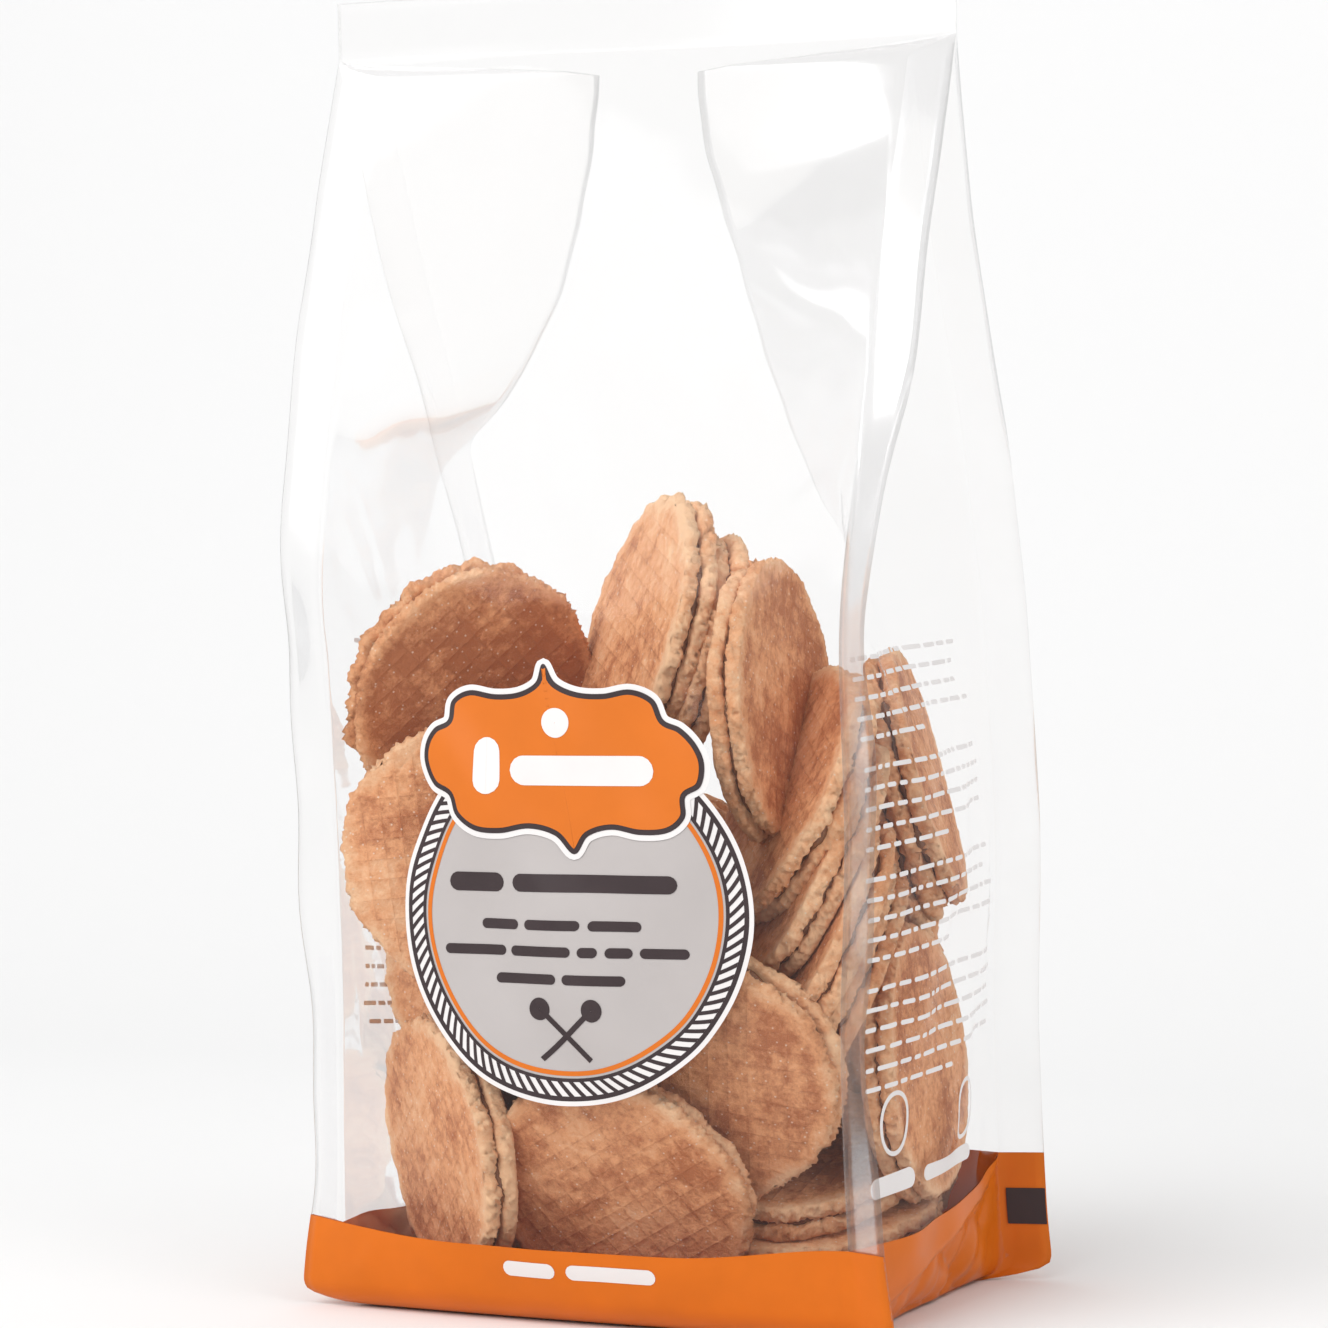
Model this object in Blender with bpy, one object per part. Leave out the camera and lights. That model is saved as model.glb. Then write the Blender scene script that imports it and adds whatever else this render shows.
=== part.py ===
"""A clear film bag of mini caramel wafers, welded shut, as one closed solid out to its outer skin.

The bag has a block bottom that stands flat, four welded strips (fins) up its corners, side panels that
fold inwards as a V (the gussets) above the contents, and a flat welded seal across the top.
+Z is up, the front faces -Y, and the origin is on the floor at the centre of the bag's outer box.
Sizes are in millimetres and are turned into metres where the mesh is made.
"""

import math

import bmesh
import bpy

MM = 0.001

# Driving dimensions
HEIGHT = 234.0  # floor to the top edge
SEAL_FOOT = 219.0  # the films start to close here
SEAL_START = 223.5  # and are welded flat from here up
FIN = 8.2  # width of a welded corner strip
WELD = 0.7  # thickness of a corner strip
BASE_ROUND = 5.0  # radius between the walls and the flat base
PANEL_STEPS = 14  # facets across the front and the back
GUSSET_STEPS = 12  # facets across each side, an even number so that the crease is a corner
ROW_PITCH = 7.0  # spacing of the rows between the base and the seal

# Each curve gives (height, value) pairs, joined smoothly. The angles are in degrees.
HALF_WIDTH = (
    (0, 47.5),
    (15, 46.4),
    (50, 45.8),
    (75, 46.6),
    (112, 47.4),
    (130, 48.4),
    (160, 49.0),
    (SEAL_FOOT, 49.0),
    (SEAL_START, 56.8),
    (HEIGHT, 56.8),
)
HALF_DEPTH = (
    (0, 37.0),
    (60, 38.0),
    (118, 37.5),
    (147, 32.0),
    (182, 20.5),
    (205, 10.0),
    (221, 2.0),
    (224, 0.85),
    (HEIGHT, 0.85),
)
FIN_WIDTH = ((0, 1.0), (3, FIN), (SEAL_FOOT, FIN), (SEAL_START, 0.4), (HEIGHT, 0.4))
BULGE_FACE = ((0, 1.0), (12, 5.0), (45, 8.0), (90, 6.5), (125, 3.5), (155, 1.0), (185, 0), (HEIGHT, 0))
BULGE_SIDE = ((0, 0.5), (12, 4.0), (45, 6.0), (85, 4.5), (120, 1.0), (145, 0), (HEIGHT, 0))
CREASE_RIGHT = ((96, 0), (118, 6), (130, 11), (147, 20), (182, 31), (SEAL_FOOT, 39), (SEAL_START, 0), (HEIGHT, 0))
CREASE_LEFT = ((118, 0), (146, 6), (162, 22), (185, 35), (SEAL_FOOT, 41), (SEAL_START, 0), (HEIGHT, 0))
LEAN = ((0, 0), (32, -0.8), (80, -1.4), (112, -3.2), (130, -4.4), (160, -5.4), (194, -6.8), (HEIGHT, -6.9))
TWIST = ((0, 0), (105, 0), (HEIGHT, 9))
SKEW = ((0, 0.06), (60, 0.05), (112, 0.04), (130, 0.03), (HEIGHT, 0))
SEAL_WAVE = ((0, 0), (150, 0), (HEIGHT, 1.6))
LUMPS = ((0, 0), (12, 0.4), (30, 1.0), (95, 1.0), (130, 0), (HEIGHT, 0))

# How far each corner strip turns outwards from the plane of the face it is welded to.
SPLAY_FRONT_RIGHT = ((0, 20), (20, 27), (60, 36), (125, 36), (165, 10), (205, 0), (HEIGHT, 0))
SPLAY_BACK_RIGHT = ((0, 10), (30, 22), (125, 22), (165, 8), (205, 0), (HEIGHT, 0))
SPLAY_BACK_LEFT = ((0, 10), (30, 20), (125, 20), (165, 8), (205, 0), (HEIGHT, 0))
SPLAY_FRONT_LEFT = ((0, -8), (30, -22), (70, -14), (125, -8), (165, -4), (205, 0), (HEIGHT, 0))

LEAN_BACK = 0.4  # how far the bag leans towards -Y for each millimetre towards -X
WAVE_PITCH = 110.0


def smooth_curve(points):
    """A function that passes through the (height, value) points without overshooting between them."""
    heights = [float(z) for z, _ in points]
    values = [float(v) for _, v in points]
    slopes = [(values[i + 1] - values[i]) / (heights[i + 1] - heights[i]) for i in range(len(points) - 1)]
    tangents = [slopes[0]]
    for before, after in zip(slopes, slopes[1:]):
        turning = before * after <= 0
        tangents.append(0.0 if turning else 2 * before * after / (before + after))
    tangents.append(slopes[-1])

    def value_at(z):
        if z <= heights[0]:
            return values[0]
        if z >= heights[-1]:
            return values[-1]
        i = max(k for k in range(len(slopes)) if heights[k] <= z)
        span = heights[i + 1] - heights[i]
        t = (z - heights[i]) / span
        rise = values[i + 1] - values[i]
        ease = t * t * (3 - 2 * t)
        bend = t * (1 - t) * (tangents[i] * (1 - t) - tangents[i + 1] * t)
        return values[i] + rise * ease + span * bend

    return value_at


half_width = smooth_curve(HALF_WIDTH)
half_depth = smooth_curve(HALF_DEPTH)
fin_width = smooth_curve(FIN_WIDTH)
bulge_face = smooth_curve(BULGE_FACE)
bulge_side = smooth_curve(BULGE_SIDE)
crease_right = smooth_curve(CREASE_RIGHT)
crease_left = smooth_curve(CREASE_LEFT)
lean = smooth_curve(LEAN)
twist = smooth_curve(TWIST)
skew = smooth_curve(SKEW)
seal_wave = smooth_curve(SEAL_WAVE)
lumps = smooth_curve(LUMPS)
splay_front_right = smooth_curve(SPLAY_FRONT_RIGHT)
splay_back_right = smooth_curve(SPLAY_BACK_RIGHT)
splay_back_left = smooth_curve(SPLAY_BACK_LEFT)
splay_front_left = smooth_curve(SPLAY_FRONT_LEFT)


def lump(along, z):
    """How far the contents push the film out, at a distance along the wall."""
    slow = 0.8 * math.sin(0.145 * along + 0.8) * math.sin(0.12 * z + 0.4)
    quick = 0.5 * math.sin(0.27 * along + 0.19 * z)
    return lumps(z) * (slow + quick)


def hump(t):
    """Rises from 0 at both ends of a panel to 1 in the middle."""
    return 1 - (2 * t - 1) ** 2


def fold(t):
    """Rises in straight lines from 0 at both ends of a gusset to 1 at its crease."""
    return 1 - abs(2 * t - 1)


def base_inset(z):
    """How far the wall is drawn in where it rounds into the base."""
    if z >= BASE_ROUND:
        return 0.0
    return BASE_ROUND - math.sqrt(BASE_ROUND**2 - (BASE_ROUND - z) ** 2)


def strip(wide, deep, z, splay, sign_x, sign_y):
    """The two outer edges of a corner strip: the one on the face's side, then the one on the gusset's."""
    angle = math.radians(splay(z))
    reach_x = wide + fin_width(z) * math.cos(angle)
    reach_y = deep + fin_width(z) * math.sin(angle)
    thick_x = -WELD * math.sin(angle)
    thick_y = -WELD * math.cos(angle)
    face_edge = (sign_x * reach_x, sign_y * reach_y)
    gusset_edge = (sign_x * (reach_x - thick_x), sign_y * (reach_y + thick_y))
    return face_edge, gusset_edge


def half_outline(z, side):
    """One face with the gusset that follows it and their strips, before the bag leans or twists.

    side is -1 for the front and the right-hand gusset, and +1 for the back and the left-hand one.
    """
    wide = half_width(z) - base_inset(z)
    deep = half_depth(z) - base_inset(z)
    if side < 0:
        crease, near, far = crease_right(z), splay_front_right, splay_back_right
    else:
        crease, near, far = crease_left(z), splay_back_left, splay_front_left
    points = []
    for i in range(PANEL_STEPS + 1):
        t = i / PANEL_STEPS
        x = wide * (2 * t - 1)
        out = deep + hump(t) * (bulge_face(z) + lump(x + 40 * side, z))
        points.append((-side * x, side * out))
    points.extend(strip(wide, deep, z, near, -side, side))
    for i in range(GUSSET_STEPS + 1):
        t = i / GUSSET_STEPS
        y = (deep - WELD) * (1 - 2 * t)
        out = wide + hump(t) * (bulge_side(z) + lump(y - 70 * side, z)) - fold(t) * crease
        points.append((-side * out, side * y))
    face_edge, gusset_edge = strip(wide, deep, z, far, -side, -side)
    points.extend((gusset_edge, face_edge))
    return points


def outline(z):
    """The bag's closed outline at height z, anticlockwise seen from above, in millimetres."""
    turn, tilt = math.radians(twist(z)), skew(z)
    placed = []
    for x, y in half_outline(z, -1) + half_outline(z, +1):
        x += tilt * y
        y += seal_wave(z) * math.sin(2 * math.pi * x / WAVE_PITCH + 0.6)
        placed.append(
            (
                x * math.cos(turn) - y * math.sin(turn) + lean(z),
                x * math.sin(turn) + y * math.cos(turn) + LEAN_BACK * lean(z),
            )
        )
    return placed


def row_heights():
    """Heights of the rows: close together round the base and at the seal, even between them."""
    base = [0.0, 0.5, 1.5, 3.0, BASE_ROUND]
    count = round((SEAL_FOOT - BASE_ROUND) / ROW_PITCH)
    wall = [BASE_ROUND + (SEAL_FOOT - BASE_ROUND) * i / count for i in range(1, count + 1)]
    return base + wall + [221.0, SEAL_START, 225.0, 229.5, HEIGHT]


def remove_everything():
    for thing in list(bpy.data.objects):
        bpy.data.objects.remove(thing)


def film_material():
    """Clear, glossy packaging film."""
    material = bpy.data.materials.new("clear_film")
    material.use_nodes = True
    shader = material.node_tree.nodes["Principled BSDF"]
    shader.inputs["Base Color"].default_value = (0.93, 0.92, 0.91, 1)
    shader.inputs["Roughness"].default_value = 0.15
    shader.inputs["Metallic"].default_value = 0.0
    shader.inputs["Alpha"].default_value = 0.35
    return material


def make_bag(collection):
    """Lofts the outlines into one closed mesh, centred on the origin and standing on the floor."""
    heights = row_heights()
    rows = [outline(z) for z in heights]
    xs = [x for row in rows for x, _ in row]
    ys = [y for row in rows for _, y in row]
    centre_x = (min(xs) + max(xs)) / 2
    centre_y = (min(ys) + max(ys)) / 2

    build = bmesh.new()
    rings = [
        [build.verts.new(((x - centre_x) * MM, (y - centre_y) * MM, z * MM)) for x, y in row]
        for z, row in zip(heights, rows)
    ]
    for lower, upper in zip(rings, rings[1:]):
        for i in range(len(lower)):
            j = (i + 1) % len(lower)
            build.faces.new((lower[i], lower[j], upper[j], upper[i]))
    build.faces.new(list(reversed(rings[0])))
    build.faces.new(rings[-1])
    mesh = bpy.data.meshes.new("bag")
    build.to_mesh(mesh)
    build.free()
    mesh.shade_smooth()
    mesh.set_sharp_from_angle(angle=math.radians(35))
    mesh.materials.append(film_material())

    bag = bpy.data.objects.new("bag", mesh)
    collection.objects.link(bag)
    return bag


def main():
    remove_everything()
    collection = bpy.data.collections.new("bag_of_mini_wafers")
    bpy.context.scene.collection.children.link(collection)
    make_bag(collection)


main()
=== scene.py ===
"""Looks of the film bag of mini caramel wafers: clear film, its print, and the loose wafers inside.

Sizes here are in millimetres and are turned into metres where a mesh is made.
"""

import math

import bpy
import numpy as np
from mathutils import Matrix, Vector


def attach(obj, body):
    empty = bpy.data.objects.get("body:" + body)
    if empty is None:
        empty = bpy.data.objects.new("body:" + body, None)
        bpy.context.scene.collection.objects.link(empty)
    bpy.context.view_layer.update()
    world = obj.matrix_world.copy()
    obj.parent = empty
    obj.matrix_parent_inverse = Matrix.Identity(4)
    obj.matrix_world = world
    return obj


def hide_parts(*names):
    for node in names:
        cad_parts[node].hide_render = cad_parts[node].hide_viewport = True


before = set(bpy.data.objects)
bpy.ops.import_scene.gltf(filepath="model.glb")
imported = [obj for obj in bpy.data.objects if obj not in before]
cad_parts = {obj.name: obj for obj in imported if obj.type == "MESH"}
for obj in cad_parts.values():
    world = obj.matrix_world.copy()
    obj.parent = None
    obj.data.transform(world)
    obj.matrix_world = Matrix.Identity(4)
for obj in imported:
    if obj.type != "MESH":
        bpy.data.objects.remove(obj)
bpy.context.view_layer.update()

MM = 0.001
TAU = 2 * math.pi

# ---------------------------------------------------------------- the bag's shape, as in the CAD solid
HEIGHT = 234.0
SEAL_FOOT = 219.0
SEAL_START = 223.5
FIN = 8.2
WELD = 0.35
BASE_ROUND = 5.0
CENTRE_X = -3.849
CENTRE_Y = -0.610
LEAN_BACK = 0.4
WAVE_PITCH = 110.0


def curve(*points):
    """A function through (height, value) points, without overshoot, that takes a number or an array."""
    heights = np.array([p[0] for p in points], float)
    values = np.array([p[1] for p in points], float)
    slopes = np.diff(values) / np.diff(heights)
    before, after = slopes[:-1], slopes[1:]
    total = np.where(before + after == 0, 1.0, before + after)
    middle = np.where(before * after > 0, 2 * before * after / total, 0.0)
    tangents = np.concatenate([slopes[:1], middle, slopes[-1:]])

    def value_at(z):
        z = np.clip(np.asarray(z, float), heights[0], heights[-1])
        i = np.clip(np.searchsorted(heights, z, side="right") - 1, 0, len(slopes) - 1)
        span = heights[i + 1] - heights[i]
        t = (z - heights[i]) / span
        ease = t * t * (3 - 2 * t)
        bend = t * (1 - t) * (tangents[i] * (1 - t) - tangents[i + 1] * t)
        return values[i] + (values[i + 1] - values[i]) * ease + span * bend

    return value_at


half_width = curve(
    (0, 47.5),
    (15, 46.4),
    (50, 45.8),
    (75, 46.6),
    (112, 47.4),
    (130, 48.4),
    (160, 49.0),
    (SEAL_FOOT, 49.0),
    (SEAL_START, 56.8),
    (HEIGHT, 56.8),
)
half_depth = curve(
    (0, 37.0),
    (60, 38.0),
    (118, 37.5),
    (147, 32.0),
    (182, 20.5),
    (205, 10.0),
    (221, 2.0),
    (224, 0.5),
    (HEIGHT, 0.5),
)
fin_width = curve((0, 1.0), (3, FIN), (SEAL_FOOT, FIN), (SEAL_START, 0.4), (HEIGHT, 0.4))
bulge_face = curve((0, 1.0), (12, 5.0), (45, 8.0), (90, 6.5), (125, 3.5), (155, 1.0), (185, 0), (HEIGHT, 0))
bulge_side = curve((0, 0.5), (12, 4.0), (45, 6.0), (85, 4.5), (120, 1.0), (145, 0), (HEIGHT, 0))
crease_right = curve((96, 0), (118, 6), (130, 11), (147, 20), (182, 31), (219, 39), (223.5, 0), (234, 0))
crease_left = curve((118, 0), (146, 6), (162, 22), (185, 35), (219, 41), (223.5, 0), (234, 0))
lean = curve((0, 0), (32, -0.8), (80, -1.4), (112, -3.2), (130, -4.4), (160, -5.4), (194, -6.8), (234, -6.9))
twist = curve((0, 0), (105, 0), (HEIGHT, 9))
skew = curve((0, 0.06), (60, 0.05), (112, 0.04), (130, 0.03), (HEIGHT, 0))
seal_wave = curve((0, 0), (150, 0), (HEIGHT, 1.6))
lumps = curve((0, 0), (12, 0.4), (30, 1.0), (95, 1.0), (130, 0), (HEIGHT, 0))
splay_front_right = curve((0, 20), (20, 27), (60, 36), (125, 36), (165, 10), (205, 0), (HEIGHT, 0))
splay_back_right = curve((0, 10), (30, 22), (125, 22), (165, 8), (205, 0), (HEIGHT, 0))
splay_back_left = curve((0, 10), (30, 20), (125, 20), (165, 8), (205, 0), (HEIGHT, 0))
splay_front_left = curve((0, -8), (30, -22), (70, -14), (125, -8), (165, -4), (205, 0), (HEIGHT, 0))

SPLAY = {
    (-1, "near"): splay_front_right,
    (-1, "far"): splay_back_right,
    (1, "near"): splay_back_left,
    (1, "far"): splay_front_left,
}


def hump(t):
    return 1 - (2 * t - 1) ** 2


def ease(low, high, value):
    t = np.clip((value - low) / (high - low), 0, 1)
    return t * t * (3 - 2 * t)


def base_inset(z):
    rise = np.clip(BASE_ROUND - z, 0, BASE_ROUND)
    return BASE_ROUND - np.sqrt(BASE_ROUND**2 - rise**2)


def lump(along, z):
    slow = 0.8 * np.sin(0.145 * along + 0.8) * np.sin(0.12 * z + 0.4)
    return lumps(z) * (slow + 0.5 * np.sin(0.27 * along + 0.19 * z))


def fold_line(x, z, x0, z0, x1, z1, width, height):
    """A crease in the film from one point of a panel to another: a soft ridge that fades at its ends."""
    length = math.hypot(x1 - x0, z1 - z0)
    ux, uz = (x1 - x0) / length, (z1 - z0) / length
    along = ((x - x0) * ux + (z - z0) * uz) / length
    off = (x - x0) * -uz + (z - z0) * ux
    return height * np.exp(-((off / width) ** 2)) * hump(np.clip(along, 0, 1))


FACE_FOLDS = (
    (-50, 214, -24, 150, 1.4, 0.9),
    (-46, 176, -30, 120, 1.6, -0.7),
    (44, 216, 26, 158, 1.5, 0.9),
    (30, 206, 18, 176, 1.2, -0.6),
    (-8, 218, -14, 176, 1.6, 0.6),
    (48, 150, 24, 128, 1.6, 0.8),
    (-48, 140, -34, 112, 1.6, 0.8),
    (-46, 2, -37, 15, 0.9, 0.8),
    (46, 2, 38, 15, 0.9, 0.8),
)
SIDE_FOLDS = (
    (-34, 128, -6, 98, 1.5, 0.9),
    (34, 126, 8, 96, 1.5, -0.8),
    (-30, 150, -12, 122, 1.3, -0.7),
    (30, 92, 18, 60, 1.6, 0.7),
    (-32, 72, -22, 40, 1.5, 0.6),
)


def face_relief(side, x, z):
    """Small waves and creases of the front and back film."""
    high = ease(118, 165, z) * (1 - ease(205, 222, z))
    waves = 0.55 * np.sin(0.10 * x + 0.035 * z + side) * high + 0.16 * np.sin(0.31 * x - 0.11 * z + 2 * side)
    waves = waves + 0.10 * np.sin(0.5 * x + 0.38 * z) * lumps(z)
    for x0, z0, x1, z1, width, height in FACE_FOLDS:
        waves = waves + fold_line(x * -side, z, x0, z0, x1, z1, width, height)
    return waves * ease(1, 8, z) * (1 - ease(217, 222, z))


def tuck(y, z):
    """How far the crumpled tuck at the foot of a side panel goes in: it lies below a slanting fold."""
    edge = 1.5 + 0.29 * (y + 37)
    ridges = 1.3 * np.abs(np.sin(0.13 * y + 0.20 * z + 0.6)) + 0.7 * np.abs(np.sin(0.31 * y - 0.17 * z))
    crumple = 1.0 - ridges + 0.2 * np.sin(0.8 * y - 0.6 * z)
    deep = 1.0 + 2.4 * ease(-37, 15, y)
    return ease(0.0, 1.3, edge - z) * (deep + crumple * ease(-30, 0, y)) * ease(0, 1.5, z)


def side_relief(side, y, z):
    """Small waves and creases of the side film, and the tuck at its foot."""
    waves = 0.18 * np.sin(0.35 * y + 0.15 * z + side) + 0.12 * np.sin(0.22 * y - 0.5 * z)
    for y0, z0, y1, z1, width, height in SIDE_FOLDS:
        waves = waves + fold_line(y, z, y0, z0, y1, z1, width, height)
    waves = waves * ease(1, 8, z) * (1 - ease(210, 220, z))
    return waves - tuck(y, z) * (1.0 if side < 0 else 0.3)


def wall_sizes(z):
    """Half the width and half the depth of the level outline."""
    return half_width(z) - base_inset(z), half_depth(z) - base_inset(z)


def face_out(side, x, z):
    """How far the front (side -1) or back (+1) film stands out from the middle, at x across it."""
    wide, deep = wall_sizes(z)
    t = np.clip((x / wide) * 0.5 + 0.5, 0, 1)
    along = -side * x
    swell = bulge_face(z) + lump(along + 40 * side, z)
    return deep + hump(t) * swell + np.sqrt(hump(t)) * face_relief(side, along, z)


def side_out(side, y, z):
    """How far the right (side -1) or left (+1) film stands out from the middle, at y along it."""
    wide, deep = wall_sizes(z)
    t = np.clip(0.5 - side * y / (deep - WELD) * 0.5, 0, 1)
    crease = crease_right(z) if side < 0 else crease_left(z)
    swell = bulge_side(z) + lump(side * y - 70 * side, z)
    fold = 1 - np.abs(2 * t - 1)
    return wide + hump(t) * swell - fold * crease + np.sqrt(hump(t)) * side_relief(side, y, z)


def place(x, y, z):
    """From a level outline to the leaning, twisted bag, centred on the origin."""
    turn = np.radians(twist(z))
    x = x + skew(z) * y
    y = y + seal_wave(z) * np.sin(TAU * x / WAVE_PITCH + 0.6)
    px = x * np.cos(turn) - y * np.sin(turn) + lean(z) - CENTRE_X
    py = x * np.sin(turn) + y * np.cos(turn) + LEAN_BACK * lean(z) - CENTRE_Y
    return np.stack([px, py, z + 0 * px], axis=-1)


def face_at(side, x, z, lift=0.0):
    """Points of the front (side -1) or back (+1) film at x across it."""
    z = np.asarray(z, float) + 0 * x
    return place(x, side * (face_out(side, x, z) + lift), z)


def side_at(side, y, z, lift=0.0):
    """Points of the right (side -1) or left (+1) film at y along it."""
    z = np.asarray(z, float) + 0 * y
    return place(-side * (side_out(side, y, z) + lift), y, z)


def strip_at(side, which, reach, z, back=0.0):
    """Points of a corner strip: reach runs from 0 at its root to 1 at its edge, back is the depth."""
    z = np.asarray(z, float) + 0 * reach
    wide = half_width(z) - base_inset(z)
    deep = half_depth(z) - base_inset(z)
    ruffle = 5 * np.sin(z / 13.0 + 2 * side) + 3 * np.sin(z / 5.3 + side)
    angle = np.radians(SPLAY[side, which](z) + ruffle * reach * (1 - ease(190, 215, z)) * ease(2, 20, z))
    length = fin_width(z) * reach
    x = wide + length * np.cos(angle) + back * np.sin(angle)
    y = deep + length * np.sin(angle) - back * np.cos(angle)
    sign_y = side if which == "near" else -side
    return place(-side * x, sign_y * y, z)


FACE_STEPS, SIDE_STEPS, FIN_STEPS = 52, 40, 4
BAND_SIDE_STEPS = 120


def section(z, lift=0.0, faces=FACE_STEPS, sides=SIDE_STEPS, fins=FIN_STEPS):
    """The closed outline at height z (a number for every point), anticlockwise seen from above."""
    parts = []
    for side in (-1, 1):
        wide = float(half_width(z) - base_inset(z))
        deep = float(half_depth(z) - base_inset(z)) - WELD
        t = np.linspace(0, 1, faces + 1)
        parts.append(face_at(side, -side * wide * (2 * t - 1), z, lift))
        reach = np.arange(1, fins + 1) / fins
        parts.append(strip_at(side, "near", reach, z, -lift))
        parts.append(strip_at(side, "near", reach[::-1], z, WELD + lift))
        t = np.linspace(0, 1, sides + 1)
        parts.append(side_at(side, side * deep * (1 - 2 * t), z, lift))
        parts.append(strip_at(side, "far", reach, z, WELD + lift))
        parts.append(strip_at(side, "far", reach[::-1], z, -lift))
    return np.concatenate(parts)


# ---------------------------------------------------------------- mesh building
class Skin:
    """Collects grids of points, in millimetres, into one mesh."""

    def __init__(self):
        self.points = []
        self.quads = []
        self.count = 0
        self.marks = []

    def grid(self, block, closed=False, flip=False, mark=0):
        """Adds a block of points, rows by columns; closed joins the last column to the first."""
        rows, cols = block.shape[:2]
        index = np.arange(rows * cols).reshape(rows, cols) + self.count
        right = np.roll(index, -1, axis=1) if closed else index[:, 1:]
        left = index if closed else index[:, :-1]
        quads = np.stack([left[:-1], right[:-1], right[1:], left[1:]], axis=-1).reshape(-1, 4)
        if flip:
            quads = quads[:, ::-1]
        self.points.append(block.reshape(-1, 3))
        self.quads.extend(map(tuple, quads.tolist()))
        self.marks.extend([mark] * len(quads))
        self.count += rows * cols
        return index

    def face(self, loop, mark=0):
        self.quads.append(tuple(int(i) for i in loop))
        self.marks.append(mark)

    def make(self, name, materials, smooth=True):
        mesh = bpy.data.meshes.new(name)
        points = np.concatenate(self.points) * MM
        mesh.from_pydata(points.tolist(), [], self.quads)
        for material in materials:
            mesh.materials.append(material)
        mesh.polygons.foreach_set("material_index", self.marks)
        mesh.polygons.foreach_set("use_smooth", [smooth] * len(self.quads))
        mesh.validate()
        mesh.update()
        piece = bpy.data.objects.new(name, mesh)
        bpy.context.scene.collection.objects.link(piece)
        return piece


# ---------------------------------------------------------------- materials
def new_material(name):
    material = bpy.data.materials.new(name)
    material.use_nodes = True
    nodes = material.node_tree.nodes
    return material, nodes, material.node_tree.links, nodes["Principled BSDF"]


def ink(name, colour, roughness=0.32, vary=0.06):
    """Ink printed on glossy film: one colour with faint unevenness."""
    material, nodes, links, shader = new_material(name)
    noise = nodes.new("ShaderNodeTexNoise")
    noise.inputs["Scale"].default_value = 90
    noise.inputs["Detail"].default_value = 3
    coords = nodes.new("ShaderNodeTexCoord")
    links.new(coords.outputs["Object"], noise.inputs["Vector"])
    ramp = nodes.new("ShaderNodeValToRGB")
    ramp.color_ramp.elements[0].position = 0.3
    ramp.color_ramp.elements[1].position = 0.7
    ramp.color_ramp.elements[0].color = tuple(c * (1 - vary) for c in colour) + (1,)
    ramp.color_ramp.elements[1].color = tuple(min(1, c * (1 + vary)) for c in colour) + (1,)
    links.new(noise.outputs["Fac"], ramp.inputs["Fac"])
    links.new(ramp.outputs["Color"], shader.inputs["Base Color"])
    shader.inputs["Roughness"].default_value = roughness
    shader.inputs["Specular IOR Level"].default_value = 0.16
    return material


def film_material(name, haze, gloss_roughness, gloss_share):
    """Clear film: what is behind it, a little milk, and reflections that grow at grazing angles."""
    material, nodes, links, shader = new_material(name)
    output = nodes["Material Output"]
    nodes.remove(shader)
    clear = nodes.new("ShaderNodeBsdfTransparent")
    clear.inputs["Color"].default_value = (0.994, 0.992, 0.990, 1)
    milk = nodes.new("ShaderNodeBsdfDiffuse")
    milk.inputs["Color"].default_value = (0.9, 0.9, 0.9, 1)
    coords = nodes.new("ShaderNodeTexCoord")
    noise = nodes.new("ShaderNodeTexNoise")
    noise.inputs["Scale"].default_value = 45
    noise.inputs["Detail"].default_value = 4
    links.new(coords.outputs["Object"], noise.inputs["Vector"])
    amount = nodes.new("ShaderNodeMapRange")
    amount.inputs["From Min"].default_value = 0.35
    amount.inputs["From Max"].default_value = 0.75
    amount.inputs["To Min"].default_value = haze * 0.6
    amount.inputs["To Max"].default_value = haze * 1.8
    links.new(noise.outputs["Fac"], amount.inputs["Value"])
    hazed = nodes.new("ShaderNodeMixShader")
    links.new(amount.outputs["Result"], hazed.inputs["Fac"])
    links.new(clear.outputs["BSDF"], hazed.inputs[1])
    links.new(milk.outputs["BSDF"], hazed.inputs[2])
    gloss = nodes.new("ShaderNodeBsdfGlossy")
    gloss.inputs["Color"].default_value = (0.95, 0.95, 0.96, 1)
    gloss.inputs["Roughness"].default_value = gloss_roughness
    fresnel = nodes.new("ShaderNodeFresnel")
    fresnel.inputs["IOR"].default_value = 1.48
    strength = nodes.new("ShaderNodeMath")
    strength.operation = "MULTIPLY"
    strength.inputs[1].default_value = gloss_share
    links.new(fresnel.outputs["Fac"], strength.inputs[0])
    shine = nodes.new("ShaderNodeMixShader")
    links.new(strength.outputs[0], shine.inputs["Fac"])
    links.new(hazed.outputs["Shader"], shine.inputs[1])
    links.new(gloss.outputs["BSDF"], shine.inputs[2])
    links.new(shine.outputs["Shader"], output.inputs["Surface"])
    return material


PIT_PITCH = 3.5  # spacing of the waffle pattern


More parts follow.
